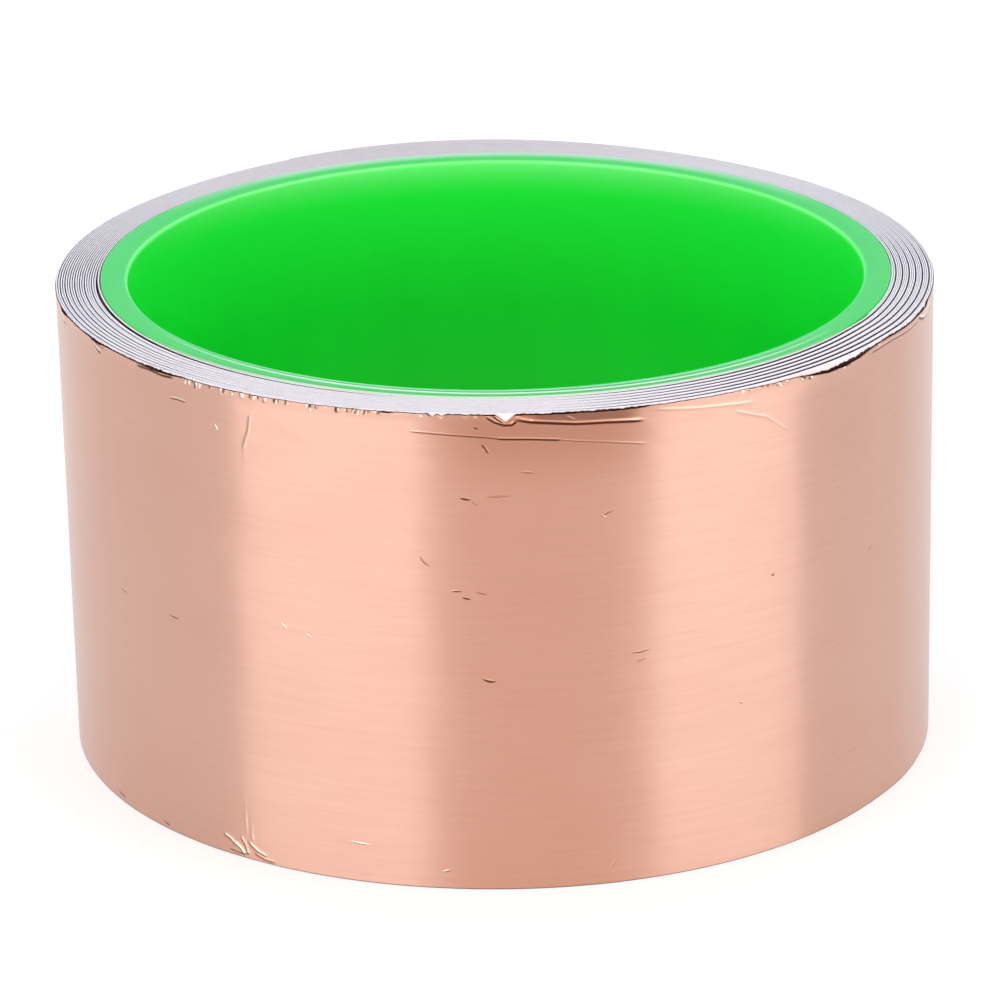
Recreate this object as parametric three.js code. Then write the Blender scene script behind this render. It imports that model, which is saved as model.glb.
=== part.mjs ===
// Copper foil tape roll: a 50 mm wide tape, about 5 m long, wound on a moulded plastic core.
//
// Frame: millimetres, +Z up along the roll's axis, origin on that axis in the plane the roll stands on.
//
// The tape is one laminate of three strips: release liner inside, acrylic adhesive in the middle and
// copper foil outside. Each strip is a true spiral, and all three follow one winding path, which runs
// counterclockwise seen from above. A place on the path is given in turns, from 0 at the core to TURNS
// at the free end. Near the free end the strips are cut where the tape bends when it is peeled.
import * as THREE from "three";

// Core
const CORE_BORE_RADIUS = 38.1; // the standard 3 inch bore
const CORE_WALL = 2.8;
const CORE_LENGTH = 50;
const CORE_MOUTH_RADIUS = 0.8; // rounding round each mouth of the bore
const CORE_MOUTH_STEPS = 3;
const CORE_CHAMFER = 0.15; // on the two outer edges

// Tape
const TAPE_WIDTH = 49.8;
const LINER_THICKNESS = 0.115;
const ADHESIVE_THICKNESS = 0.025;
const FOIL_THICKNESS = 0.035;
const LAYER_GAP = 0.005; // clearance between laminated layers, so that each stays a solid of its own
const TURN_PITCH = 0.23; // the laminate and the air between turns
const TURNS = 18.4;
const FREE_END_DEG = 120; // azimuth of the free end, counterclockwise from +X
const STEPS_PER_TURN = 30;

// The winding is slack at the back: it stands off at SLACK_DEG and draws in on both sides of it.
const SLACK_HEIGHT = 1.1; // of the outermost turn, falling to nothing at the core
const SLACK_DEG = 98;
const SLACK_SPREAD_DEG = 27.7;

// Free end
const LIFT_DEG = 84; // the tape lifts off the roll past this line
const SPLIT_DEG = 96; // past this line the foil, with its adhesive, also peels off the liner
const BEND_GAP = 0.3; // clearance between the pieces on the two sides of a bending line

// Anchor: a patch of double-sided tape that holds the inner end to the core
const ANCHOR_THICKNESS = 0.08;
const ANCHOR_CLEARANCE = 0.015;
const ANCHOR_DEG = 24;

const TURN_DEG = 360;
const CORE_RADIUS = CORE_BORE_RADIUS + CORE_WALL;
const PACK_RADIUS = CORE_RADIUS + ANCHOR_THICKNESS + 2 * ANCHOR_CLEARANCE;
const TAPE_BOTTOM = (CORE_LENGTH - TAPE_WIDTH) / 2;
const MEAN_RADIUS = PACK_RADIUS + (TURNS * TURN_PITCH) / 2;
const HALF_BEND_TURN = BEND_GAP / 2 / (2 * Math.PI * MEAN_RADIUS);
const ROUNDING_SLOP = 1e-6; // of a station, for turn values that fall exactly on one

// Each layer of the tape: its inner face, measured outwards from the laminate's own, and its thickness.
const LINER = { offset: 0, thickness: LINER_THICKNESS };
const ADHESIVE = { offset: LINER_THICKNESS + LAYER_GAP, thickness: ADHESIVE_THICKNESS };
const FOIL = {
  offset: ADHESIVE.offset + ADHESIVE_THICKNESS + LAYER_GAP,
  thickness: FOIL_THICKNESS,
};
const ANCHOR = { offset: -ANCHOR_CLEARANCE - ANCHOR_THICKNESS, thickness: ANCHOR_THICKNESS };

const turnAt = (azimuthDeg) => TURNS - (FREE_END_DEG - azimuthDeg) / TURN_DEG;
const LIFT_TURN = turnAt(LIFT_DEG);
const SPLIT_TURN = turnAt(SPLIT_DEG);

// How far the slack moves the outermost turn outwards: a hump with a shallow dip on each side.
function slack(azimuthDeg) {
  const away = Math.abs(azimuthDeg - SLACK_DEG) % TURN_DEG;
  const x = Math.min(away, TURN_DEG - away) / SLACK_SPREAD_DEG;
  return SLACK_HEIGHT * (1 - x * x) * Math.exp((-x * x) / 2);
}

// A corner of the winding path, offset outwards from the laminate's inner face.
function station(index, offset) {
  const turn = index / STEPS_PER_TURN;
  const azimuthDeg = FREE_END_DEG + (turn - TURNS) * TURN_DEG;
  const angle = THREE.MathUtils.degToRad(azimuthDeg);
  const radius = PACK_RADIUS + TURN_PITCH * turn + (slack(azimuthDeg) * turn) / TURNS + offset;
  return new THREE.Vector2(radius * Math.cos(angle), radius * Math.sin(angle));
}

// Any point of the path. Between stations it lies on their chord, so that the turns nest.
function pathPoint(turn, offset) {
  const position = turn * STEPS_PER_TURN;
  const index = Math.floor(position + ROUNDING_SLOP);
  const along = Math.max(0, position - index);
  return station(index, offset).lerp(station(index + 1, offset), along);
}

// The path from one turn value to another: both ends and the stations between them.
function pathPoints(fromTurn, toTurn, offset) {
  const points = [pathPoint(fromTurn, offset)];
  const first = Math.floor(fromTurn * STEPS_PER_TURN + ROUNDING_SLOP) + 1;
  const last = Math.ceil(toTurn * STEPS_PER_TURN - ROUNDING_SLOP) - 1;
  for (let index = first; index <= last; index++) {
    points.push(station(index, offset));
  }
  points.push(pathPoint(toTurn, offset));
  return points;
}

// A length of one layer as a solid: its outline seen from above, extruded across the tape's width.
function stripGeometry(layer, fromTurn, toTurn) {
  const inner = pathPoints(fromTurn, toTurn, layer.offset);
  const outer = pathPoints(fromTurn, toTurn, layer.offset + layer.thickness);
  const outline = new THREE.Shape([...outer, ...inner.reverse()]);
  const geometry = new THREE.ExtrudeGeometry(outline, { depth: TAPE_WIDTH, bevelEnabled: false });
  return geometry.translate(0, 0, TAPE_BOTTOM);
}

// Section of one rounded mouth of the bore, from its wall to the end face at endZ. inward is the
// direction along Z from that end face into the core.
function mouthRounding(endZ, inward) {
  const points = [];
  for (let i = 0; i <= CORE_MOUTH_STEPS; i++) {
    const angle = ((i / CORE_MOUTH_STEPS) * Math.PI) / 2;
    const radius = CORE_BORE_RADIUS + CORE_MOUTH_RADIUS * (1 - Math.cos(angle));
    const depth = CORE_MOUTH_RADIUS * (1 - Math.sin(angle));
    points.push(new THREE.Vector2(radius, endZ + inward * depth));
  }
  return points;
}

// The core: its closed section turned round the axis, with its facets in line with the path's stations.
function coreGeometry() {
  const profile = [
    ...mouthRounding(0, 1),
    new THREE.Vector2(CORE_RADIUS - CORE_CHAMFER, 0),
    new THREE.Vector2(CORE_RADIUS, CORE_CHAMFER),
    new THREE.Vector2(CORE_RADIUS, CORE_LENGTH - CORE_CHAMFER),
    new THREE.Vector2(CORE_RADIUS - CORE_CHAMFER, CORE_LENGTH),
    ...mouthRounding(CORE_LENGTH, -1).reverse(),
  ];
  profile.push(profile[0].clone());
  const quarterTurn = Math.PI / 2;
  return new THREE.LatheGeometry(profile, STEPS_PER_TURN, quarterTurn).rotateX(quarterTurn);
}

const corePlastic = () => new THREE.MeshStandardMaterial({ color: 0x1fc636, roughness: 0.4, metalness: 0 });
const anchorTape = () => new THREE.MeshStandardMaterial({ color: 0xe9e4d2, roughness: 0.6, metalness: 0 });
const linerPaper = () => new THREE.MeshStandardMaterial({ color: 0xdedbe3, roughness: 0.8, metalness: 0 });
const acrylic = () => new THREE.MeshStandardMaterial({ color: 0xe6dcc8, roughness: 0.35, metalness: 0 });
const copper = () => new THREE.MeshStandardMaterial({ color: 0xe6a788, roughness: 0.3, metalness: 1 });

const roll = new THREE.Group();

function addPiece(name, geometry, material) {
  const mesh = new THREE.Mesh(geometry, material);
  mesh.name = name;
  roll.add(mesh);
}

addPiece("core", coreGeometry(), corePlastic());
addPiece("core_anchor_tape", stripGeometry(ANCHOR, 0, ANCHOR_DEG / TURN_DEG), anchorTape());

// The three layers up to the line where the tape lifts
const woundEnd = LIFT_TURN - HALF_BEND_TURN;
addPiece("release_liner_wound", stripGeometry(LINER, 0, woundEnd), linerPaper());
addPiece("adhesive_wound", stripGeometry(ADHESIVE, 0, woundEnd), acrylic());
addPiece("copper_foil_wound", stripGeometry(FOIL, 0, woundEnd), copper());

// The tail: the liner to the free end, the foil and its adhesive only to the line where they split off
const tailStart = LIFT_TURN + HALF_BEND_TURN;
const tailSplit = SPLIT_TURN - HALF_BEND_TURN;
addPiece("release_liner_tail", stripGeometry(LINER, tailStart, TURNS), linerPaper());
addPiece("adhesive_tail", stripGeometry(ADHESIVE, tailStart, tailSplit), acrylic());
addPiece("copper_foil_tail", stripGeometry(FOIL, tailStart, tailSplit), copper());

// The flap: the last of the foil and its adhesive, which peel off the liner's end
const flapStart = SPLIT_TURN + HALF_BEND_TURN;
addPiece("adhesive_flap", stripGeometry(ADHESIVE, flapStart, TURNS), acrylic());
addPiece("copper_foil_flap", stripGeometry(FOIL, flapStart, TURNS), copper());

export default roll;
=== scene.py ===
"""Looks of the copper foil tape roll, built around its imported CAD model.

Design values are in millimetres and degrees, and meshes in metres. +Z is up along the roll's axis.
Azimuths run counterclockwise from +X seen from above, so the camera stands at azimuth -90.
A place along the wound tape is given in turns, from 0 at the core to TURNS at the free end.
"""
import math

import bpy
import numpy as np
from mathutils import Matrix, Vector


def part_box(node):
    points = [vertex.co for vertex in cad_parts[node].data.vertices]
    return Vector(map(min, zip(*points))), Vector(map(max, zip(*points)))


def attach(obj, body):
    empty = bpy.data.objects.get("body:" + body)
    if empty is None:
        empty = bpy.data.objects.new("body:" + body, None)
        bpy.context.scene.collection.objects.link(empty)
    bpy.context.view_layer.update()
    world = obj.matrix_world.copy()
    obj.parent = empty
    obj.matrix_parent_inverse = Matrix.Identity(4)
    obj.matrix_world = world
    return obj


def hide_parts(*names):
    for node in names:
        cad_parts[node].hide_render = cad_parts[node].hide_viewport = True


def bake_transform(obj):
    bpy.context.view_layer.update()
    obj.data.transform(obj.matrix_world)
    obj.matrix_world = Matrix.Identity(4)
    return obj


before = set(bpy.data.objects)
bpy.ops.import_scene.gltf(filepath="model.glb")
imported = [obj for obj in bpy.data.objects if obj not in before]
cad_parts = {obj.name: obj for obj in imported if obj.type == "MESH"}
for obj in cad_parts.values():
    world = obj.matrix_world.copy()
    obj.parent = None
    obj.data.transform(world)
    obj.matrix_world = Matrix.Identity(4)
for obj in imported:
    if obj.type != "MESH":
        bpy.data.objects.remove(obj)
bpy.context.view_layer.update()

MM = 0.001

# Core and tape, as in the CAD model
CORE_BORE_RADIUS = 38.1
CORE_RADIUS = 40.9
CORE_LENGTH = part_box("core")[1].z / MM
TAPE_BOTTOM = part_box("copper_foil_wound")[0].z / MM
TAPE_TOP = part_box("copper_foil_wound")[1].z / MM
PACK_RADIUS = 41.01
LINER_THICKNESS = 0.115
ADHESIVE_THICKNESS = 0.025
FOIL_THICKNESS = 0.035
LAYER_GAP = 0.005
TURN_PITCH = 0.23
TURNS = 18.4
FREE_END = 120.0
LIFT = 84.0
SPLIT = 96.0
SLACK_HEIGHT = 1.1
SLACK_AT = 98.0
SLACK_SPREAD = 27.7
ANCHOR_TURNS = 24 / 360
ANCHOR_OFFSET = -0.095
ANCHOR_THICKNESS = 0.08

ADHESIVE_OFFSET = LINER_THICKNESS + LAYER_GAP
FOIL_OFFSET = ADHESIVE_OFFSET + ADHESIVE_THICKNESS + LAYER_GAP
LAMINATE = FOIL_OFFSET + FOIL_THICKNESS
LIFT_TURN = TURNS - (FREE_END - LIFT) / 360
SPLIT_TURN = TURNS - (FREE_END - SPLIT) / 360
OUTER_TURN = LIFT_TURN - 1

# How the laps lie. In a loose zone the air is gathered under a few of them, and the others are shut tight.
# "under" is the share of the air under each lap that has a gap. "step" is how much higher the upper edge is
# inside such a gap than outside it: azimuth where it is largest, half width in degrees, and millimetres.
EVEN_GAP = TURN_PITCH - LAMINATE
TIGHT_GAP = 0.01
LAP_BREAK = 90.0  # azimuth where the laps are numbered from, away from the loose zones
CLIMB = 9.0  # degrees that the first turn takes to climb over the tape's inner end
LOOSE_ZONES = [
    {"at": -35.0, "half": 60.0, "step": (-40.0, 56.0, 0.068),
     "under": {2: 1.0, 5: 1.0, 8: 1.0, 11: 1.0, 14: 1.0, 17: 1.0}},
    {"at": -140.0, "half": 44.0, "step": (-155.0, 38.0, 0.033),
     "under": {2: 4.0, 4: 1.0, 7: 1.2, 9: 0.8, 11: 1.2, 13: 0.8, 15: 1.3, 17: 1.0}},
]

# Rings of painted highlight (the pale ones) and painted shade (the dark ones) on the core's end face, each
# about an axis that is shifted by so much in X and Y:
# shift, radius, half width, colour, and how strong they are in front and at the back
MOUTH_SHIFT = (0.14, -0.61)
CORE_SHIFT = (-0.26, 0.3)  # of the core's upper end
CORE_RINGS = [
    (MOUTH_SHIFT, 38.08, 0.26, (0.38, 0.82, 0.45), 0.7, 0.0),
    (MOUTH_SHIFT, 38.45, 0.3, (0.05, 0.25, 0.08), 0.9, 0.0),
    (MOUTH_SHIFT, 38.9, 0.25, (0.6, 0.9, 0.66), 0.85, 0.0),
    (CORE_SHIFT, 40.45, 0.32, (0.12, 0.29, 0.14), 0.85, 0.0),
    (CORE_SHIFT, 40.9, 0.25, (0.5, 0.75, 0.55), 0.8, 0.0),
    (CORE_SHIFT, 41.0, 2.0, (0.38, 0.64, 0.45), 0.0, 0.85),
]

# The roll isn't quite round and leans a little: how far its outermost turn stands off the CAD radius.
# Each level is a mean, and waves round the roll as (how many, height, azimuth of a crest).
LEAN_TOP = (0.18, ((1, 0.46, 169), (2, 0.08, -48), (3, 0.1, -49)))
LEAN_BOTTOM = (0.09, ((1, 0.04, -157), (2, 0.1, -7)))

# Damage on the outer turn of the foil. A path's points are (azimuth, height).
# A crease is a ridge, with painted shade along its lower side and a painted highlight along its upper one:
# width and rise, how dark and how bright, and path
CREASES = [
    (0.15, 0.06, 1.8, 0.9, [(-88.0, 49.35), (-86.2, 49.1), (-80.8, 48.72), (-77.0, 48.64), (-72.3, 48.42)]),
    (0.08, 0.04, 0.4, 0.8, [(-81.9, 49.5), (-80.9, 49.05)]),
    (0.08, 0.04, 0.9, 0.5, [(-101.1, 48.0), (-96.8, 47.81), (-92.3, 47.6), (-89.9, 47.42)]),
    (0.11, 0.05, 1.3, 0.8, [(-90.4, 47.42), (-86.3, 47.34), (-82.6, 47.14)]),
    (0.08, 0.03, 0.5, 0.5, [(-82.9, 47.12), (-77.0, 46.58), (-72.0, 46.0)]),
    (0.13, 0.09, 1.6, 0.7, [(-91.6, 49.65), (-90.6, 49.14), (-89.5, 48.84), (-88.6, 48.84), (-88.0, 49.2)]),
    (0.1, 0.06, 1.4, 0.9, [(-90.7, 49.75), (-90.15, 49.35), (-89.6, 49.1)]),
    (0.1, 0.08, 0.3, 1.2, [(-88.0, 49.6), (-87.1, 49.35), (-86.1, 49.2)]),
    (0.1, 0.02, 1.0, 0.2, [(-93.1, 48.6), (-92.7, 48.44)]),
    (0.1, 0.04, 1.0, 0.4, [(-92.05, 46.8), (-91.4, 45.95)]),
    (0.12, 0.03, 0.1, 0.35, [(-70.6, 49.3), (-65.0, 48.8), (-57.0, 48.3)]),
    (0.12, 0.03, 0.15, 0.3, [(-60.0, 47.8), (-55.0, 46.4), (-51.5, 44.4)]),
    (0.1, 0.04, 1.0, 0.8, [(-134.9, 47.36), (-133.6, 47.44), (-132.4, 47.4)]),
    (0.1, 0.05, 0.35, 0.4, [(-122.1, 47.6), (-122.4, 46.0), (-123.3, 44.0)]),
    (0.2, 0.1, 1.6, 0.7, [(-152.3, 49.8), (-151.1, 49.2), (-150.2, 48.85)]),
    (0.12, 0.06, 1.2, 0.5, [(-151.0, 49.75), (-149.0, 49.6)]),
    (0.22, 0.1, 1.6, 0.6, [(-165.8, 49.5), (-164.4, 49.0), (-163.3, 48.75)]),
    (0.16, 0.05, 1.5, 0.3, [(-141.2, 49.55), (-139.0, 49.65), (-136.3, 49.5), (-134.4, 49.6)]),
    (0.17, 0.1, 1.5, 1.1, [(-20.3, 49.2), (-18.0, 48.6), (-16.6, 48.6), (-14.9, 48.95), (-13.6, 49.2)]),
    (0.12, 0.05, 0.9, 0.4, [(-35.4, 49.1), (-29.7, 49.2), (-24.1, 49.0), (-20.6, 49.0)]),
    (0.12, 0.08, 0.9, 0.5, [(-128.4, 2.1), (-127.2, 1.75), (-126.4, 1.2)]),
    (0.12, 0.1, 0.7, 0.6, [(-126.6, 1.5), (-125.6, 1.0), (-124.9, 0.45)]),
    (0.1, 0.08, 0.9, 0.35, [(-125.6, 2.3), (-124.9, 1.6), (-124.5, 0.7)]),
    (0.11, 0.09, 0.8, 0.5, [(-124.3, 1.9), (-122.9, 1.2), (-121.6, 0.9)]),
    (0.1, 0.06, 0.9, 0.3, [(-127.4, 0.7), (-125.8, 0.55), (-124.2, 0.75)]),
    (0.11, 0.06, 0.9, 0.3, [(-123.4, 0.9), (-121.8, 0.5), (-120.4, 0.45)]),
    (0.1, 0.03, 0.1, 0.4, [(-125.0, 4.6), (-124.2, 3.4), (-123.6, 2.2)]),
    (0.1, 0.03, 0.9, 0.1, [(-139.4, 0.75), (-138.4, 0.6)]),
    (0.12, 0.03, 0.9, 0.1, [(-150.6, 0.95), (-149.0, 0.8)]),
]

# Small nicks in the foil's face, with painted shade and painted highlight like the creases: width, how dark,
# how bright, and path
NICKS = [
    (0.24, 1.6, 0.6, [(-95.0, 41.4), (-94.4, 41.32), (-93.6, 41.2)]),
    (0.11, 0.6, 0.4, [(-93.7, 41.1), (-92.6, 40.5)]),
    (0.11, 0.7, 0.4, [(-91.8, 41.45), (-88.7, 41.57)]),
    (0.15, 0.7, 0.9, [(-87.7, 44.05), (-85.6, 43.85)]),
    (0.15, 0.9, 0.8, [(-77.9, 38.95), (-76.9, 39.36), (-76.0, 39.52)]),
    (0.11, 0.6, 0.6, [(-77.8, 39.15), (-77.0, 38.8)]),
    (0.15, 0.9, 0.5, [(-100.0, 35.2), (-99.4, 34.6), (-98.8, 34.2)]),
    (0.17, 1.2, 0.6, [(-96.2, 31.75), (-94.8, 31.75)]),
    (0.21, 1.4, 0.6, [(-94.9, 31.15), (-93.7, 30.95)]),
    (0.14, 0.8, 0.5, [(-93.2, 31.7), (-91.6, 31.45)]),
    (0.24, 1.6, 0.8, [(-92.5, 22.65), (-91.6, 22.4), (-90.7, 22.35)]),
    (0.15, 1.0, 0.5, [(-73.9, 24.45), (-72.6, 24.5), (-71.3, 24.7)]),
    (0.11, 0.6, 0.4, [(-73.3, 23.5), (-71.6, 23.75)]),
    (0.17, 0.9, 0.5, [(-147.6, 24.4), (-146.1, 24.15)]),
    (0.17, 1.1, 0.4, [(-136.9, 24.05), (-134.9, 24.0)]),
    (0.18, 0.2, 1.2, [(-127.6, 45.9), (-127.1, 45.3)]),
    (0.14, 0.3, 1.0, [(-115.0, 25.9), (-114.2, 25.5)]),
    (0.12, 0.25, 0.8, [(-118.6, 26.6), (-117.6, 26.0)]),
    (0.21, 1.4, 0.1, [(-54.1, 29.85), (-53.6, 29.75)]),
    (0.17, 0.9, 0.4, [(-58.9, 17.2), (-58.4, 17.0)]),
    (0.15, 0.6, 0.2, [(-35.6, 28.2), (-34.6, 28.5)]),
    (0.14, 0.4, 1.0, [(-109.6, 4.35), (-108.0, 4.2), (-106.8, 4.2)]),
    (0.15, 0.7, 0.6, [(-97.8, 1.9), (-96.6, 2.1)]),
    (0.14, 0.5, 0.8, [(-76.8, 1.6), (-76.0, 2.4), (-75.4, 2.9)]),
]

# Where the foil is bent off the turn below: azimuth, half width in degrees, how far, and how far down
# that reaches
LIFTED = [
    (-80.0, 9.5, 0.16, 1.9),
    (-43.5, 9.0, 0.5, 2.6),
    (-17.5, 3.5, 0.2, 1.2),
    (-90.0, 2.2, 0.14, 1.3),
    (-150.5, 3.0, 0.16, 1.4),
    (-164.0, 3.0, 0.18, 1.4),
    (-150.0, 17.0, 0.09, 0.8),
    (-137.5, 5.0, 0.12, 1.0),
]

# The foil's upper edge: azimuth, how far it lies below the liner's, and the height above it of the dark
# adhesive strip that is painted shade in the gap
RIM = [
    (-180, 0.12, 0.02), (-170, 0.1, 0.05), (-166, 0.14, 0.1), (-163, 0.22, 0.18), (-160.5, 0.08, 0.05),
    (-154, 0.08, 0.05), (-151.5, 0.24, 0.21), (-149, 0.1, 0.07), (-144, 0.12, 0.08), (-140.5, 0.2, 0.15),
    (-138, 0.3, 0.26), (-135, 0.24, 0.2), (-132.5, 0.14, 0.08), (-130, 0.14, 0.04), (-118, 0.12, 0.03),
    (-105, 0.08, 0.02), (-103.8, 0.24, 0.2), (-102.6, 0.08, 0.02), (-98, 0.12, 0.08), (-93, 0.14, 0.08),
    (-88, 0.18, 0.14), (-80, 0.17, 0.14), (-73, 0.26, 0.2), (-71, 0.14, 0.05), (-58, 0.16, 0.03),
    (-50, 0.3, 0.04), (-47.9, 0.52, 0.1), (-45, 0.82, 0.24), (-41.6, 0.8, 0.3), (-38.1, 0.68, 0.36),
    (-35.4, 0.42, 0.2), (-33, 0.26, 0.12), (-29.7, 0.32, 0.2), (-24, 0.4, 0.16), (-19, 0.42, 0.2),
    (-15, 0.24, 0.14), (-10, 0.16, 0.08), (-5, 0.14, 0.06), (8, 0.14, 0.02), (180, 0.14, 0.02),
]
NOTCHES = [  # azimuth, half width in degrees, and depth, of the V torn into the foil's upper edge
    (-89.3, 1.05, 0.72),
    (-98.2, 0.35, 0.3),
    (-97.0, 0.3, 0.24),
    (-17.0, 0.5, 0.25),
]
FRAYED = [  # stretches with short upright tears: first and last azimuth, how many, and the longest
    (-132.0, -104.5, 60, 0.75),
    (-99.5, -92.5, 9, 0.3),
    (-59.0, -46.5, 20, 0.5),
    (-44.0, -33.0, 7, 0.25),
]
FRAY_WIDTH, FRAY_RISE = 0.08, 0.06
NICK_SECTION = [  # of a nick across its path: place in its widths, height, and share of its painted shade (above 0) and painted highlight (below 0)
    (-1.0, -0.02, 0.0),
    (-0.6, 0.012, 1.0),
    (0.0, 0.022, 0.3),
    (0.6, 0.012, -1.0),
    (1.0, -0.02, 0.0),
]

# Parts of the foil's face painted darker: azimuth, half width in degrees, how fast the sides fade, lower
# height, over how many millimetres it fades in from there, and how dark
DARKENED = [
    (-79.8, 7.6, 3.0, 48.7, 0.25, 0.3),  # bent into shadow
    (-84.0, 19.0, 1.6, 40.0, TAPE_TOP - 40.0, 0.2),  # darker and browner towards the top
]

OUTER_RADIUS = PACK_RADIUS + TURNS * TURN_PITCH
DEGREE = math.radians(1) * OUTER_RADIUS  # of arc on the outer turn
OUTER_START = LIFT - 360  # azimuth where the outer turn begins
FOIL_CLEARANCE = 0.01  # how far the outer turn's outer face is moved out


# ---------------------------------------------------------------- winding path

def azimuth_of(turn):
    return FREE_END + (turn - TURNS) * 360


def tape_length(turn):
    """Length of the tape from the core to a turn, without its slack."""
    return 2 * math.pi * (PACK_RADIUS + TURN_PITCH * turn / 2) * turn


def smooth_step(x):
    x = np.clip(x, 0, 1)
    return x * x * (3 - 2 * x)


def away_from(azimuth, centre):
    """Signed difference of two azimuths, from -180 to 180."""
    return (azimuth - centre + 180) % 360 - 180


def slack(azimuth):
    x = away_from(azimuth, SLACK_AT) / SLACK_SPREAD
    return SLACK_HEIGHT * (1 - x * x) * np.exp(-x * x / 2)


def loose_share(azimuth, zone):
    """1 inside a zone where the turns lie in groups, fading to 0 at its ends."""
    return smooth_step((zone["half"] - np.abs(away_from(azimuth, zone["at"]))) / (0.4 * zone["half"]))


def lap_number(turn):
    """Laps counted from 0 at the core, each from the back of the roll, where all the gaps are alike."""
    first = math.floor((azimuth_of(0) - LAP_BREAK) / 360)
    return np.floor((azimuth_of(turn) - LAP_BREAK) / 360).astype(int) - first


def gap_under(turn):
    """Air between a turn and the one below it."""
    azimuth, lap = azimuth_of(turn), lap_number(turn)
    gap = np.full(turn.shape, EVEN_GAP)
    for zone in LOOSE_ZONES:
        shares = zone["under"]
        air = TURNS * EVEN_GAP - (TURNS - len(shares)) * TIGHT_GAP
        gathered = np.full(turn.shape, TIGHT_GAP)
        for number, share in shares.items():
            gathered[lap == number] = air * share / sum(shares.values())
        gap += loose_share(azimuth, zone) * (gathered - EVEN_GAP)
    return gap


def stacked_height(turn):
    """Height of a turn over the first one's: the laminates and the air below it.

    The first turn lies on the core until it climbs over its own inner end, and each later turn follows."""
    step = LAMINATE + gap_under(np.ones(1))[0]
    height, rest = np.zeros(turn.shape), turn.copy()
    while (rest >= 1).any():
        above = rest >= 1
        height += np.where(above, LAMINATE + gap_under(rest), 0)
        rest = np.where(above, rest - 1, rest)
    return height + step * smooth_step((rest * 360 - 360 + CLIMB) / CLIMB)


def lean(azimuth, share):
    """How far the outermost turn stands off the CAD radius. share is 0 at the bottom and 1 at the top."""
    levels = []
    for mean, curves in (LEAN_BOTTOM, LEAN_TOP):
        levels.append(mean + sum(h * np.cos(n * np.radians(azimuth - at)) for n, h, at in curves))
    return levels[0] + (levels[1] - levels[0]) * share


def core_lean(azimuth, share):
    angle = np.radians(azimuth)
    return share * (CORE_SHIFT[0] * np.cos(angle) + CORE_SHIFT[1] * np.sin(angle))


def laminate_radius(turn, heights):
    """Radius of the laminate's inner face at stations along the tape, by rows of heights for each."""
    azimuth, outwards = azimuth_of(turn)[:, None], turn[:, None] / TURNS
    share = heights / CORE_LENGTH
    shift = core_lean(azimuth, share) * (1 - outwards) + (slack(azimuth) + lean(azimuth, share)) * outwards
    return PACK_RADIUS + stacked_height(turn)[:, None] + shift


def waves(x, lengths, seed):
    """Smooth noise along x, from -1 to 1, as a sum of sines of the given wavelengths."""
    phases = np.random.default_rng(seed).uniform(0, 2 * math.pi, len(lengths))
    return sum(np.sin(2 * math.pi * x / l + p) for l, p in zip(lengths, phases)) / len(lengths)


def edge_height(turn):
    """How far a turn's upper edge stands off the tape's: it is higher inside a gap and lower outside one."""
    azimuth, lap = azimuth_of(turn), lap_number(turn)
    height = 0.015 * waves(turn * 360, (950, 410, 173, 77), 11)
    for zone in LOOSE_ZONES:
        gaps = list(zone["under"])
        higher = 1.0 * np.isin(lap + 1, gaps) - np.isin(lap, gaps)
        at, half, step = zone["step"]
        height += step * higher * smooth_step(1 - np.abs(away_from(azimuth, at)) / half)
    return height


# ---------------------------------------------------------------- meshes

def add_object(name, points, faces, uv=None, tone=None, sharp=35):
    """A smooth-shaded mesh object from points in millimetres. uv holds one pair for each point, and tone
    one number, which the foil's material takes as darker above 0 and brighter below it: painted shade and
    painted highlight."""
    mesh = bpy.data.meshes.new(name)
    mesh.from_pydata(np.asarray(points) * MM, [], faces)
    if uv is not None:
        loops = np.zeros(len(mesh.loops), np.int32)
        mesh.loops.foreach_get("vertex_index", loops)
        mesh.uv_layers.new(name="tape").data.foreach_set("uv", np.asarray(uv)[loops].ravel())
    if tone is not None:
        mesh.attributes.new("tone", "FLOAT", "POINT").data.foreach_set("value", tone)
    mesh.polygons.foreach_set("use_smooth", np.ones(len(mesh.polygons), bool))
    mesh.set_sharp_from_angle(angle=math.radians(sharp))
    mesh.update()
    piece = bpy.data.objects.new(name, mesh)
    bpy.context.scene.collection.objects.link(piece)
    return piece


def ring_faces(rings, size, closed):
    """Quads between successive rings of `size` points each, wound outwards."""
    here = np.arange(rings - 1 + closed)[:, None] * size
    there = (here + size) % (rings * size)
    j, k = np.arange(size), (np.arange(size) + 1) % size
    return np.stack([here + j, there + j, there + k, here + k], -1).reshape(-1, 4)


def strip(name, turns, inner, outer, rows_in, rows_out, tone=None):
    """A length of tape as a closed solid. turns holds its stations. The radii and the heights of its inner
    and its outer face are arrays of stations by rows, upwards. tone goes with the outer face's points."""
    angle = np.radians(azimuth_of(turns))[:, None]
    radius = np.concatenate([outer, inner[:, ::-1]], 1)
    height = np.concatenate([rows_out, rows_in[:, ::-1]], 1)
    points = np.stack([radius * np.cos(angle), radius * np.sin(angle), height], -1)
    stations, size = radius.shape
    sides = ring_faces(stations, size, closed=False)
    caps = [list(range(size))[::-1], list(range((stations - 1) * size, stations * size))]
    along = np.concatenate([[0], np.cumsum(np.hypot(*np.diff(points[:, 0, :2], axis=0).T))])
    along = (tape_length(turns[0]) + along)[:, None]
    uv = np.stack([np.broadcast_to(along, radius.shape), height], -1) * MM
    if tone is not None:
        tone = np.concatenate([tone, np.zeros(inner.shape)], 1).ravel()
    faces = sides[:, ::-1].tolist() + caps
    return add_object(name, points.reshape(-1, 3), faces, uv.reshape(-1, 2), tone)


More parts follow.
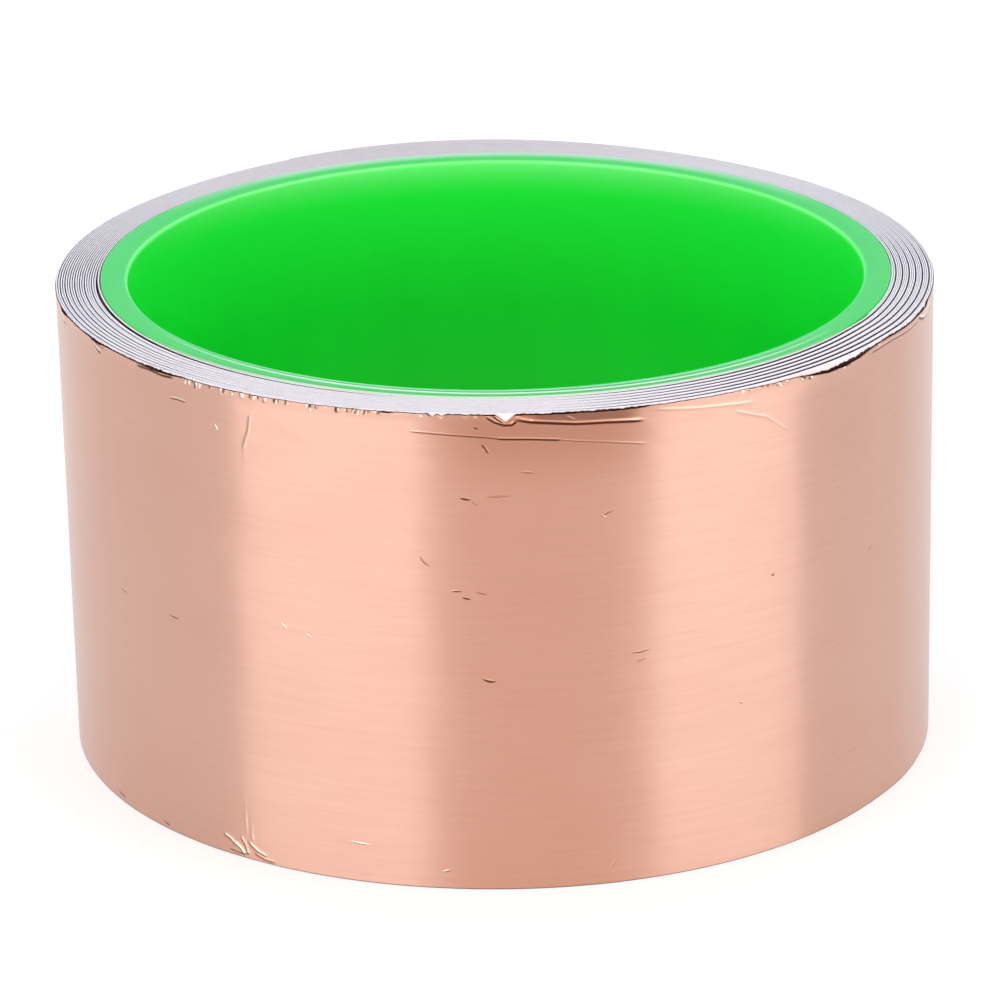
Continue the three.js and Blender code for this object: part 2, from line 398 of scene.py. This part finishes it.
def plain_strip(name, first, last, offset, thickness, overhang, steps_per_turn=200):
    """A layer of the wound tape, with its edges overhang beyond the tape's nominal ones."""
    count = max(2, int(round((last - first) * steps_per_turn)) + 1)
    turns = np.linspace(first, last, count)
    top = TAPE_TOP + overhang + edge_height(turns)
    bottom = TAPE_BOTTOM - overhang + 0.5 * edge_height(turns + 0.37)
    rows = np.stack([bottom, top], 1)
    radius = laminate_radius(turns, rows) + offset
    return strip(name, turns, radius, radius + thickness, rows, rows)


# ---------------------------------------------------------------- materials

class Nodes:
    """A node tree, with one short method for each kind of node that is used."""

    def __init__(self, tree):
        self.tree = tree

    def add(self, kind, **values):
        node = self.tree.nodes.new(kind)
        for key, value in values.items():
            setattr(node, key, value)
        return node

    def link(self, source, target):
        self.tree.links.new(source, target)
        return target.node

    def tape_coordinates(self, along, across, slant=0.0):
        """Vectors that follow the tape, scaled to one unit per feature length in millimetres."""
        uv = self.add("ShaderNodeUVMap", uv_map="tape")
        mapping = self.add("ShaderNodeMapping")
        mapping.inputs["Rotation"].default_value = (0, 0, math.radians(slant))
        mapping.inputs["Scale"].default_value = (1 / (along * MM), 1 / (across * MM), 1)
        self.link(uv.outputs["UV"], mapping.inputs["Vector"])
        return mapping.outputs["Vector"]

    def object_coordinates(self, size):
        """Object-space vectors, scaled to one unit per `size` millimetres."""
        coordinates = self.add("ShaderNodeTexCoord")
        mapping = self.add("ShaderNodeMapping")
        mapping.inputs["Scale"].default_value = [1 / (s * MM) for s in size]
        self.link(coordinates.outputs["Object"], mapping.inputs["Vector"])
        return mapping.outputs["Vector"]

    def distance_from_axis(self, shift):
        """Distance from an axis parallel to Z, which is shifted by so many millimetres in X and Y."""
        mapping = self.add("ShaderNodeMapping")
        mapping.inputs["Location"].default_value = (-shift[0] * MM, -shift[1] * MM, 0)
        mapping.inputs["Scale"].default_value = (1, 1, 0)
        self.link(self.add("ShaderNodeTexCoord").outputs["Object"], mapping.inputs["Vector"])
        length = self.add("ShaderNodeVectorMath", operation="LENGTH")
        self.link(mapping.outputs["Vector"], length.inputs[0])
        return length.outputs["Value"]

    def noise(self, vector, detail=2.0, roughness=0.5):
        node = self.add("ShaderNodeTexNoise")
        node.inputs["Scale"].default_value = 1.0
        node.inputs["Detail"].default_value = detail
        node.inputs["Roughness"].default_value = roughness
        self.link(vector, node.inputs["Vector"])
        return node.outputs["Fac"]

    def spread(self, value, low, high, to_low=0.0, to_high=1.0):
        node = self.add("ShaderNodeMapRange")
        for socket, number in zip(("From Min", "From Max", "To Min", "To Max"), (low, high, to_low, to_high)):
            node.inputs[socket].default_value = number
        self.link(value, node.inputs["Value"])
        return node.outputs["Result"]

    def math(self, operation, a, b):
        node = self.add("ShaderNodeMath", operation=operation)
        for socket, value in zip(node.inputs, (a, b)):
            if isinstance(value, (int, float)):
                socket.default_value = value
            else:
                self.link(value, socket)
        return node.outputs["Value"]

    def mix_colours(self, factor, a, b):
        node = self.add("ShaderNodeMix", data_type="RGBA")
        colours = [s for s in node.inputs if s.type == "RGBA"]
        for socket, colour in zip(colours, (a, b)):
            if isinstance(colour, tuple):
                socket.default_value = (*colour, 1)
            else:
                self.link(colour, socket)
        self.link(factor, node.inputs["Factor"])
        return next(s for s in node.outputs if s.type == "RGBA")

    def bump(self, height, distance, strength=1.0, after=None):
        node = self.add("ShaderNodeBump")
        node.inputs["Strength"].default_value = strength
        node.inputs["Distance"].default_value = distance * MM
        self.link(height, node.inputs["Height"])
        if after is not None:
            self.link(after, node.inputs["Normal"])
        return node.outputs["Normal"]

    def set(self, socket, source):
        self.link(source, self.shader.inputs[socket])


def new_material(name, **constants):
    """A material's nodes, with constants set on its shader's own sockets."""
    material = bpy.data.materials.new(name)
    material.use_nodes = True
    m = Nodes(material.node_tree)
    m.material, m.shader = material, material.node_tree.nodes["Principled BSDF"]
    for socket, value in constants.items():
        m.shader.inputs[socket.replace("_", " ")].default_value = value
    return m


def copper_foil(name, shade_band_width):
    """Rolled copper foil under a clear lacquer: fine lines along the tape smear reflections across it.

    The second argument is the width, in millimetres, of the band along both of its edges that is painted
    dark, as painted shade in the gaps between laps and where the foil meets the floor."""
    m = new_material(name, Metallic=1.0, Anisotropic=1.0, Anisotropic_Rotation=0.25,
                     Coat_Weight=0.1, Coat_Roughness=0.22)
    tangent = m.add("ShaderNodeTangent", direction_type="UV_MAP", uv_map="tape")
    m.set("Tangent", tangent.outputs["Tangent"])
    lines = m.noise(m.tape_coordinates(4.5, 0.13, slant=0.06), detail=3, roughness=0.6)
    streaks = m.noise(m.tape_coordinates(14, 0.5, slant=0.06), detail=2)
    blotches = m.noise(m.tape_coordinates(16, 11), detail=3)
    mottle = m.noise(m.tape_coordinates(1.6, 0.9), detail=3)
    tone = m.math("ADD", m.math("MULTIPLY", lines, 0.5), m.math("MULTIPLY", streaks, 0.5))
    fresh = m.mix_colours(m.spread(tone, 0.35, 0.65), (0.638, 0.384, 0.3), (0.678, 0.42, 0.335))
    dull = m.mix_colours(m.spread(blotches, 0.45, 0.75, 0, 0.3), fresh, (0.6, 0.34, 0.257))
    # Painted shade and painted highlight from the tone attribute on the mesh: darker colours above 0 along
    # creases, nicks, tears and bent foil, a brighter one below 0 on their lit sides; it also darkens and
    # browns one stretch towards the top
    painted_tone = m.add("ShaderNodeAttribute", attribute_name="tone").outputs["Fac"]
    toned_darker = m.mix_colours(m.spread(painted_tone, 0.01, 0.24), dull, (0.5, 0.262, 0.182))
    painted_deep_shade = m.mix_colours(m.spread(painted_tone, 0.22, 0.85), toned_darker, (0.09, 0.028, 0.016))
    painted_highlight = m.mix_colours(m.spread(painted_tone, -0.05, -0.8), painted_deep_shade, (1.0, 0.9, 0.76))
    v = m.add("ShaderNodeSeparateXYZ")
    m.link(m.add("ShaderNodeUVMap", uv_map="tape").outputs["UV"], v.inputs["Vector"])
    middle = (TAPE_TOP + TAPE_BOTTOM) / 2
    from_middle = m.math("ABSOLUTE", m.math("SUBTRACT", v.outputs["Y"], middle * MM), 0)
    half = (TAPE_TOP - TAPE_BOTTOM) / 2
    # Painted shade: a dark band along both edges of the foil
    shaded_band = m.spread(from_middle, (half - shade_band_width) * MM, (half - shade_band_width * 0.6) * MM)
    m.set("Base Color", m.mix_colours(shaded_band, painted_highlight, (0.05, 0.024, 0.02)))
    m.set("Roughness", m.spread(tone, 0.3, 0.7, 0.28, 0.33))
    ripple = m.noise(m.tape_coordinates(3.5, 1.1, slant=0.06), detail=2)
    fine = m.bump(lines, 0.002)
    rough = m.bump(mottle, 0.005, after=fine)
    m.set("Normal", m.bump(ripple, 0.002, after=rough))
    return m.material


def liner_paper():
    """Pale lavender release paper, with fibres along the slit edge."""
    m = new_material("liner_paper", Roughness=0.62)
    fibres = m.noise(m.tape_coordinates(1.2, 0.3), detail=4, roughness=0.7)
    cloud = m.noise(m.tape_coordinates(35, 20), detail=2)
    paper = m.mix_colours(m.spread(fibres, 0.35, 0.65), (0.65, 0.69, 0.765), (0.745, 0.787, 0.862))
    clouded = m.mix_colours(m.spread(cloud, 0.3, 0.7, 0, 0.5), paper, (0.695, 0.735, 0.815))
    place = m.add("ShaderNodeSeparateXYZ")
    m.link(m.add("ShaderNodeTexCoord").outputs["Object"], place.inputs["Vector"])
    # Painted shade: the paper greys towards the back of the roll
    painted_shade_back = m.spread(place.outputs["Y"], -20 * MM, 22 * MM, 0, 0.17)
    m.set("Base Color", m.mix_colours(painted_shade_back, clouded, (0.1, 0.1, 0.11)))
    m.set("Normal", m.bump(fibres, 0.01, 0.5))
    return m.material


def adhesive(name, pale, deep, roughness, gloss):
    """An acrylic film, rippled where it was spread."""
    m = new_material(name, Roughness=roughness, Specular_IOR_Level=gloss)
    ripple = m.noise(m.tape_coordinates(2.2, 1.4), detail=3)
    m.set("Base Color", m.mix_colours(m.spread(ripple, 0.3, 0.7), deep, pale))
    m.set("Normal", m.bump(ripple, 0.01, 0.6))
    return m.material


def anchor_tape():
    m = new_material("anchor_tape", Roughness=0.5)
    weave = m.noise(m.tape_coordinates(0.8, 0.8), detail=3)
    m.set("Base Color", m.mix_colours(m.spread(weave, 0.3, 0.7), (0.76, 0.72, 0.6), (0.84, 0.8, 0.7)))
    return m.material


def core_plastic():
    """Bright green moulded plastic, translucent, with a satin skin, and with painted light on the bore's wall
    and end face.
    """
    m = new_material("core_plastic", IOR=1.5, Subsurface_Weight=0.5, Subsurface_Scale=0.0015,
                     Specular_IOR_Level=0.3, Roughness=0.3)
    m.shader.inputs["Subsurface Radius"].default_value = (0.35, 1.0, 0.45)
    flow = m.noise(m.object_coordinates((9, 9, 60)), detail=2)
    deep = m.mix_colours(m.spread(flow, 0, 1), (0.002, 0.54, 0.023), (0.003, 0.66, 0.029))
    place = m.add("ShaderNodeSeparateXYZ")
    m.link(m.add("ShaderNodeTexCoord").outputs["Object"], place.inputs["Vector"])
    # Painted light: the bore's wall is lighter towards the top
    lit = m.mix_colours(m.spread(place.outputs["Z"], 33 * MM, 47 * MM), deep, (0.01, 0.75, 0.05))
    # A painted glow near the mouth: across the bore at the back, and along the end face's edge towards the
    # back and left
    near_mouth = m.spread(place.outputs["Z"], 45.5 * MM, 49.9 * MM)
    across_bore = m.spread(place.outputs["Y"], 10 * MM, 36 * MM, 0.1, 1)
    wall_glow = m.math("MULTIPLY", m.math("MULTIPLY", near_mouth, near_mouth), across_bore)
    towards_back = m.math("MULTIPLY", place.outputs["Y"], 0.77)
    towards_left = m.math("MULTIPLY", place.outputs["X"], -0.64)
    behind = m.spread(m.math("ADD", towards_back, towards_left), -42 * MM, -12 * MM, 0.35, 1)
    edge_glow = m.math("MULTIPLY", m.spread(place.outputs["Z"], 49.2 * MM, 49.6 * MM), behind)
    glow = m.math("MAXIMUM", wall_glow, edge_glow)
    pale = m.mix_colours(glow, lit, (0.17, 0.84, 0.26))
    end = m.spread(place.outputs["Z"], 49.75 * MM, 49.9 * MM)
    flat = m.mix_colours(end, pale, (0.03, 0.53, 0.07))
    # Painted highlight and painted shade rings on the end face, each stronger in front or at the back
    for shift, radius, half, colour, in_front, at_back in CORE_RINGS:
        off = m.math("ABSOLUTE", m.math("SUBTRACT", m.distance_from_axis(shift), radius * MM), 0)
        front = m.spread(place.outputs["Y"], -20 * MM, -36 * MM, 0, in_front)
        back = m.spread(place.outputs["Y"], 20 * MM, 36 * MM, 0, at_back)
        strength = m.math("MAXIMUM", front, back)
        ring = m.math("MULTIPLY", m.spread(off, half * MM, half * 0.3 * MM), strength)
        flat = m.mix_colours(m.math("MULTIPLY", ring, end), flat, colour)
    m.set("Base Color", flat)
    return m.material


# The outer turn's foil gets a narrow band of painted shade along its edges, the inner turns' a wider one for
# the gaps between laps
COPPER = copper_foil("copper_foil", 0.1)
WOUND_COPPER = copper_foil("copper_foil_inner", 0.4)
LINER = liner_paper()
ADHESIVE = adhesive("adhesive", (0.8, 0.78, 0.82), (0.7, 0.68, 0.72), 0.3, 0.5)
# A dark adhesive, used for the strip of painted shade in the gap between the outer turn's foil and its liner
GAP_SHADE = adhesive("gap_shade_adhesive", (0.05, 0.018, 0.012), (0.014, 0.005, 0.004), 0.6, 0.1)


def finish_piece(piece, material, slot):
    piece.data.materials.append(material)
    return piece


# ---------------------------------------------------------------- core

def core_section():
    """Radius and height of the core's section, upwards on the outside and downwards in the bore.

    A shallow bevel leads from each end face to the bore's rounded edge."""
    chamfer, edge = 0.15, 0.45
    bevel_start, bevel_drop = 39.3, 0.1
    section = []

    def arc(centre, radius, first, last, steps):
        for angle in np.radians(np.linspace(first, last, steps)):
            section.append((centre[0] + radius * math.cos(angle), centre[1] + radius * math.sin(angle)))

    tilt = math.degrees(math.atan2(bevel_drop, bevel_start - CORE_BORE_RADIUS))
    arc((CORE_RADIUS - chamfer, chamfer), chamfer, -90, 0, 5)
    section += [(CORE_RADIUS, z) for z in np.linspace(1, CORE_LENGTH - 1, 9)]
    arc((CORE_RADIUS - chamfer, CORE_LENGTH - chamfer), chamfer, 0, 90, 5)
    section += [(r, CORE_LENGTH) for r in (40.2, 39.6, bevel_start + 0.06)]
    section += [(bevel_start - 0.06, CORE_LENGTH - 0.01)]
    arc((CORE_BORE_RADIUS + edge, CORE_LENGTH - bevel_drop - edge), edge, 90 + tilt, 180, 13)
    section += [(CORE_BORE_RADIUS, z) for z in np.linspace(CORE_LENGTH - 2, 2, 13)]
    arc((CORE_BORE_RADIUS + edge, bevel_drop + edge), edge, 180, 270 - tilt, 13)
    section += [(bevel_start - 0.06, 0.01)]
    section += [(r, 0) for r in (bevel_start + 0.06, 39.6, 40.2)]
    return np.array(section)


def make_core():
    section, steps = core_section(), 288
    angle = np.linspace(0, 2 * math.pi, steps, endpoint=False)[:, None]
    radius = section[:, 0] + 0.015 * waves(np.degrees(angle), (180, 120, 72), 3) * (section[:, 0] < 38.5)
    height = np.broadcast_to(section[:, 1], radius.shape)
    points = np.stack([radius * np.cos(angle), radius * np.sin(angle), height], -1).reshape(-1, 3)
    points[:, :2] += points[:, 2:] / CORE_LENGTH * CORE_SHIFT
    core = add_object("core_moulding", points, ring_faces(steps, len(section), closed=True).tolist())
    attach(core, "roll")
    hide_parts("core")
    finish_piece(core, core_plastic(), "core_plastic")


def make_anchor():
    patch = plain_strip("anchor_patch", 0, ANCHOR_TURNS, ANCHOR_OFFSET, ANCHOR_THICKNESS, -0.2)
    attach(patch, "roll")
    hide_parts("core_anchor_tape")
    finish_piece(patch, anchor_tape(), "anchor_tape")


# ---------------------------------------------------------------- wound tape

def make_wound_layers():
    liner = plain_strip("liner_turns", 0, LIFT_TURN, 0, LINER_THICKNESS, 0.03)
    film = plain_strip("adhesive_turns", 0, LIFT_TURN, ADHESIVE_OFFSET, ADHESIVE_THICKNESS, -0.05)
    foil = plain_strip("foil_inner_turns", 0, OUTER_TURN, FOIL_OFFSET, FOIL_THICKNESS, -0.035)
    for piece, node, material, slot in (
        (liner, "release_liner_wound", LINER, "liner_paper"),
        (film, "adhesive_wound", ADHESIVE, "adhesive"),
        (foil, "copper_foil_wound", WOUND_COPPER, "copper_foil"),
    ):
        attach(piece, "roll")
        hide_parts(node)
        finish_piece(piece, material, slot)


# ---------------------------------------------------------------- outer turn of the foil

def foil_rows():
    """Heights of the rows of points on the foil's outer face: close together where it is creased."""
    return np.concatenate([
        np.linspace(TAPE_BOTTOM + 0.02, 2.6, 20, endpoint=False),
        np.linspace(2.6, 44, 26, endpoint=False),
        np.linspace(44, 45.6, 6, endpoint=False),
        np.linspace(45.6, TAPE_TOP, 54),
    ])


def foil_stations():
    """Azimuths of the stations of the foil's outer turn: close together where its edge is torn."""
    spans = [
        (OUTER_START, -170, 1.5),
        (-170, -134, 0.33),
        (-134, -104, 0.15),
        (-104, -92, 0.3),
        (-92, -86, 0.13),
        (-86, -12, 0.31),
        (-12, 12, 0.6),
        (12, LIFT, 1.5),
    ]
    parts = [np.arange(first, last, step) for first, last, step in spans]
    return np.concatenate(parts + [[LIFT]])


def frays():
    """Short upright tears along the frayed stretch of the upper edge, as creases, with painted shade and
    painted highlight by turns.
    """
    draw = np.random.default_rng(5)
    for first, last, count, longest in FRAYED:
        for i, azimuth in enumerate(np.sort(draw.uniform(first, last, count))):
            top = rim_height(azimuth) + 0.1
            length = longest * draw.uniform(0.3, 1) * draw.uniform(0.4, 1)
            # Every other tear gets painted shade, the rest a painted highlight
            dark = 1.3 if i % 2 else 0.0
            foot = (azimuth + draw.uniform(-0.5, 0.1), top - 0.15 - length)
            yield FRAY_WIDTH, FRAY_RISE, dark, 1.3 - dark, [(azimuth, top), foot]


def crease_field(azimuth, height, path):
    """How far each point lies above a path, in millimetres, and how strong the crease is at that point."""
    x = away_from(azimuth, path[0][0]) * DEGREE
    corners = [(away_from(a, path[0][0]) * DEGREE, h) for a, h in path]
    lengths = [math.dist(p, q) for p, q in zip(corners, corners[1:])]
    nearest, above, along = np.full(height.shape, np.inf), np.zeros(height.shape), np.zeros(height.shape)
    done = 0.0
    for (px, pz), (qx, qz), length in zip(corners, corners[1:], lengths):
        ux, uz = (qx - px) / length, (qz - pz) / length
        t = np.clip((x - px) * ux + (height - pz) * uz, 0, length)
        dx, dz = x - px - t * ux, height - pz - t * uz
        distance = np.hypot(dx, dz)
        closer = distance < nearest
        nearest = np.where(closer, distance, nearest)
        above = np.where(closer, np.sign(dz * ux - dx * uz) * distance, above)
        along = np.where(closer, (done + t) / sum(lengths), along)
        done += length
    taper = smooth_step(along / 0.12 + 0.25) * smooth_step((1 - along) / 0.12 + 0.25)
    return above, taper


def bell(x, width):
    return np.exp(-(x / width) ** 2)


def rim_height(azimuth):
    """Height of the foil's upper edge."""
    wrapped = (azimuth + 180) % 360 - 180
    at, drop, _ = zip(*RIM)
    depth = np.interp(wrapped, at, drop) + 0.045 * waves(azimuth, (7.3, 3.1, 1.3, 0.7), 21)
    for centre, half, deep in NOTCHES:
        depth = depth + deep * np.clip(1 - np.abs(away_from(azimuth, centre)) / half, 0, 1)
    return TAPE_TOP - np.maximum(depth, 0.01)


def gap_shade_height(azimuth):
    """Height of the dark adhesive strip, painted shade in the gap, that shows above the foil's upper edge."""
    wrapped = (azimuth + 180) % 360 - 180
    at, _, shade_rise = zip(*RIM)
    height = np.interp(wrapped, at, shade_rise) * (1 + 0.4 * waves(azimuth, (5.1, 1.9, 0.9), 22))
    for centre, half, _ in NOTCHES:
        height = height * np.clip((np.abs(away_from(azimuth, centre)) - half) / 0.2, 0, 1)
    return height


def lifted(azimuth, height):
    """How far the foil stands off the turn below, at its upper edge and where it is bent away."""
    front = smooth_step(0.5 - 2 * np.sin(np.radians(azimuth)))
    total = 0.05 * smooth_step(height - 48.9) * front
    for centre, half, amount, depth in LIFTED:
        across = smooth_step(1 - np.abs(away_from(azimuth, centre)) / half)
        total = total + amount * across * np.clip((height - TAPE_TOP + depth) / depth, 0, 1) ** 1.5
    return total


def outer_face(azimuths, rows):
    """Radius of the outer turn's outer face, without its creases."""
    turns = LIFT_TURN + (azimuths - LIFT) / 360
    at = azimuths[:, None]
    wobble = 0.012 * waves(at + 0.5 * rows, (31, 17, 9), 31)
    wobble += 0.004 * waves(at * DEGREE + rows * 1.7, (6.1, 3.7), 32)
    fade = smooth_step((LIFT - at) / 6) * smooth_step((at - OUTER_START) / 6)
    wound = laminate_radius(turns, rows) + FOIL_OFFSET + FOIL_THICKNESS + FOIL_CLEARANCE
    return wound + lifted(at, rows) + wobble * fade


def make_outer_turn():
    azimuths = foil_stations()
    turns = LIFT_TURN + (azimuths - LIFT) / 360
    at = azimuths[:, None]
    base = 47.0
    squeeze = (rim_height(at) - base) / (TAPE_TOP - base)
    rows = foil_rows()[None, :] + 0 * at
    rows = np.where(rows > base, base + (rows - base) * squeeze, rows)
    inner_rows = rows[:, [0, 20, 46, 54, 60, 70, 80, 88, 95, 100, -1]]

    relief, tone = np.zeros(rows.shape), np.zeros(rows.shape)
    for width, rise, dark, bright, path in CREASES + list(frays()):
        above, strength = crease_field(at, rows, path)
        relief += rise * strength * bell(above, width * 1.4)
        # Painted shade along each crease's lower side and a painted highlight along its upper one
        tone += dark * strength * bell(above + 0.5 * width, width * 0.75)
        tone -= bright * strength * bell(above - 0.9 * width, width * 0.75)
    # Darker stretches: painted shade where the foil is bent, and a darkening towards the top
    for centre, half, sides, low, rise, dark in DARKENED:
        across = smooth_step(sides * (1 - np.abs(away_from(at, centre)) / half))
        tone += dark * across * smooth_step((rows - low) / rise)
    inner = laminate_radius(turns, inner_rows) + FOIL_OFFSET + lifted(at, inner_rows)
    outer = outer_face(azimuths, rows) + relief
    piece = strip("foil_outer_turn", turns, inner, outer, inner_rows, rows, tone=tone)
    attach(piece, "roll")
    finish_piece(piece, COPPER, "copper_foil")


def make_nicks():
    """Each nick is a low ridge that lies on the foil."""
    points, faces, uv, tones = [], [], [], []
    size = len(NICK_SECTION)
    before = tape_length(OUTER_TURN) - OUTER_START * DEGREE
    for width, dark, bright, path in NICKS:
        path = np.array(path)
        arc = np.stack([path[:, 0] * DEGREE, path[:, 1]], 1)
        along = np.concatenate([[0], np.cumsum(np.hypot(*np.diff(arc, axis=0).T))])
        steps = np.linspace(0, along[-1], max(5, int(along[-1] / 0.12)))
        line = np.stack([np.interp(steps, along, arc[:, 0]), np.interp(steps, along, arc[:, 1])], 1)
        ahead = np.gradient(line, axis=0)
        ahead /= np.hypot(ahead[:, :1], ahead[:, 1:])
        across = np.stack([-ahead[:, 1], ahead[:, 0]], 1)
        taper = np.sin(math.pi * (0.04 + 0.92 * steps / along[-1])) ** 0.6
        first = sum(len(p) for p in points)
        for i in range(len(steps)):
            at = np.array([line[i] + across[i] * s * width * taper[i] for s, _, _ in NICK_SECTION])
            height = [0.003 + h * taper[i] for _, h, _ in NICK_SECTION]
            radius = outer_face(at[:, 0] / DEGREE, at[:, 1:])[:, 0] + height
            angle = at[:, 0] / DEGREE * math.pi / 180
            points.append(np.stack([radius * np.cos(angle), radius * np.sin(angle), at[:, 1]], 1))
            uv.append((at + [before, 0]) * MM)
            # Painted shade on one side of each nick and a painted highlight on the other
            tones += [(dark if t > 0 else bright) * t * taper[i] for _, _, t in NICK_SECTION]
        ring = ring_faces(len(steps), size, closed=False)
        last = first + (len(steps) - 1) * size
        faces += (ring + first).tolist()
        faces += [[first + k for k in range(size)][::-1], [last + k for k in range(size)]]
    points, uv = np.concatenate(points), np.concatenate(uv)
    piece = add_object("foil_nicks", points, faces, uv, np.array(tones), sharp=80)
    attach(piece, "roll")
    finish_piece(piece, COPPER, "copper_foil")


def make_gap_shade_strip():
    """A dark line of adhesive between the outer turn's foil and its liner, along the upper edge, as painted
    shade in the gap.
    """
    azimuths = np.arange(-176.0, 6.0, 0.2)
    turns = LIFT_TURN + (azimuths - LIFT) / 360
    top = np.minimum(rim_height(azimuths) + gap_shade_height(azimuths), TAPE_TOP + 0.01)
    rows = np.stack([rim_height(azimuths) - 0.4, top], 1)
    face = laminate_radius(turns, rows) + ADHESIVE_OFFSET + ADHESIVE_THICKNESS
    outer = face + 0.015
    outer[:, 1] += np.minimum(lifted(azimuths, rim_height(azimuths)), 0.05)
    piece = strip("gap_shade_strip", turns, face, outer, rows, rows)
    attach(piece, "roll")
    finish_piece(piece, GAP_SHADE, "adhesive")


# ---------------------------------------------------------------- free end


def tape_end(name, first, last, offset, thickness, overhang):
    """A layer near the free end, with many stations and rows."""
    turns = np.linspace(first, last, int(round((last - first) * 900)) + 1)
    heights = np.linspace(TAPE_BOTTOM - overhang, TAPE_TOP + overhang, 13)
    rows = np.broadcast_to(heights, (len(turns), len(heights)))
    inner = laminate_radius(turns, rows) + offset
    return strip(name, turns, inner, inner + thickness, rows, rows, tone=np.zeros(rows.shape))


def make_free_end():
    layers = {
        "liner": (0, LINER_THICKNESS, 0.03, LINER, "liner_paper"),
        "adhesive": (ADHESIVE_OFFSET, ADHESIVE_THICKNESS, -0.02, ADHESIVE, "adhesive"),
        "foil": (FOIL_OFFSET, FOIL_THICKNESS, -0.02, COPPER, "copper_foil"),
    }
    parts = [
        ("liner_tail", "liner", LIFT_TURN, TURNS, "release_liner_tail"),
        ("adhesive_tail_film", "adhesive", LIFT_TURN, SPLIT_TURN, "adhesive_tail"),
        ("foil_tail", "foil", LIFT_TURN, SPLIT_TURN, "copper_foil_tail"),
        ("adhesive_flap_film", "adhesive", SPLIT_TURN, TURNS, "adhesive_flap"),
        ("foil_flap_sheet", "foil", SPLIT_TURN, TURNS, "copper_foil_flap"),
    ]
    for name, layer, first, last, node in parts:
        offset, thickness, overhang, material, slot = layers[layer]
        piece = tape_end(name, first, last, offset, thickness, overhang)
        if first == LIFT_TURN:
            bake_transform(piece)
        else:
            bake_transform(piece)
        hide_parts(node)
        finish_piece(piece, material, slot)


# ---------------------------------------------------------------- studio

def make_floor():
    mesh = bpy.data.meshes.new("floor")
    half = 4.0
    corners = [(-half, -half, 0), (half, -half, 0), (half, half, 0), (-half, half, 0)]
    mesh.from_pydata(corners, [], [(0, 1, 2, 3)])
    floor = bpy.data.objects.new("floor", mesh)
    bpy.context.scene.collection.objects.link(floor)
    m = new_material("floor_white", Roughness=0.8, Emission_Strength=0.56)
    m.shader.inputs["Base Color"].default_value = (0.42, 0.43, 0.435, 1)
    m.shader.inputs["Emission Color"].default_value = (0.98, 1, 1, 1)
    mesh.materials.append(m.material)


def panel(name, azimuth, elevation, distance, width, height, radiance):
    """A soft light panel that faces the roll, with its radiance in the same units as the world's."""
    light = bpy.data.lights.new(name, "AREA")
    light.shape, light.size, light.size_y = "RECTANGLE", width, height
    light.energy = radiance * math.pi * width * height
    lamp = bpy.data.objects.new(name, light)
    bpy.context.scene.collection.objects.link(lamp)
    a, e = math.radians(azimuth), math.radians(elevation)
    away = Vector((math.cos(a) * math.cos(e), math.sin(a) * math.cos(e), math.sin(e)))
    lamp.location = away * distance + Vector((0, 0, CORE_LENGTH / 2 * MM))
    lamp.rotation_mode = "QUATERNION"
    lamp.rotation_quaternion = away.to_track_quat("Z", "Y")
    lamp.visible_camera = False


def make_world():
    """A pale room: warmer and dimmer on the camera's side, between the two panels, and bright at the back."""
    neutral = (0.7, 0.6, 0.58)
    sectors = [  # colour, azimuth, half width and softness of its border, in degrees
        ((0.86, 0.26, 0.03), -80, 27, 8),
        ((0.72, 0.93, 1.14), 90, 36, 26),
    ]
    world = bpy.data.worlds.new("studio")
    bpy.context.scene.world = world
    world.use_nodes = True
    w = Nodes(world.node_tree)
    axes = w.add("ShaderNodeSeparateXYZ")
    w.link(w.add("ShaderNodeTexCoord").outputs["Generated"], axes.inputs["Vector"])
    heading = w.math("ARCTAN2", axes.outputs["Y"], axes.outputs["X"])
    colour = neutral
    for tint, at, half, softness in sectors:
        away = w.math("ABSOLUTE", w.math("SUBTRACT", heading, math.radians(at)), 0)
        share = w.spread(away, math.radians(half + softness / 2), math.radians(half - softness / 2))
        colour = w.mix_colours(share, colour, tint)
    w.link(colour, world.node_tree.nodes["Background"].inputs["Color"])


def make_studio():
    make_world()
    panel("left_panel", -132.8, 24, distance=1.2, width=1.13, height=1.1, radiance=2.33)
    panel("right_panel", -30.4, 24, distance=1.2, width=0.965, height=1.1, radiance=2.33)
    panel("top_panel", 90, 80, distance=1.6, width=1.6, height=1.6, radiance=1.3)
    bpy.context.scene.view_settings.view_transform = "Standard"


def make_camera():
    """A long lens, looking down a little at the middle of the roll, and turned slightly about its axis."""
    distance, elevation, pitch, roll = 517.84, 20.605, 0.098, 0.622
    camera = bpy.data.objects.new("camera", bpy.data.cameras.new("camera"))
    camera.data.sensor_width, camera.data.lens = 36.0, 176.6
    camera.data.clip_start, camera.data.clip_end = 0.01, 50
    bpy.context.scene.collection.objects.link(camera)
    e = math.radians(elevation)
    back = Vector((0, -math.cos(e), math.sin(e)))
    aim = back.to_track_quat("Z", "Y").to_matrix()
    pitched = aim @ Matrix.Rotation(math.radians(-pitch), 3, "X")
    turned = pitched @ Matrix.Rotation(math.radians(-roll), 3, "Z")
    place = back * distance * MM + Vector((0, 0, CORE_LENGTH / 2 * MM))
    camera.matrix_world = Matrix.Translation(place) @ turned.to_4x4()
    bpy.context.scene.camera = camera


make_camera()
make_studio()
make_floor()
make_core()
make_anchor()
make_wound_layers()
make_outer_turn()
make_nicks()
make_gap_shade_strip()
make_free_end()

bpy.context.view_layer.update()
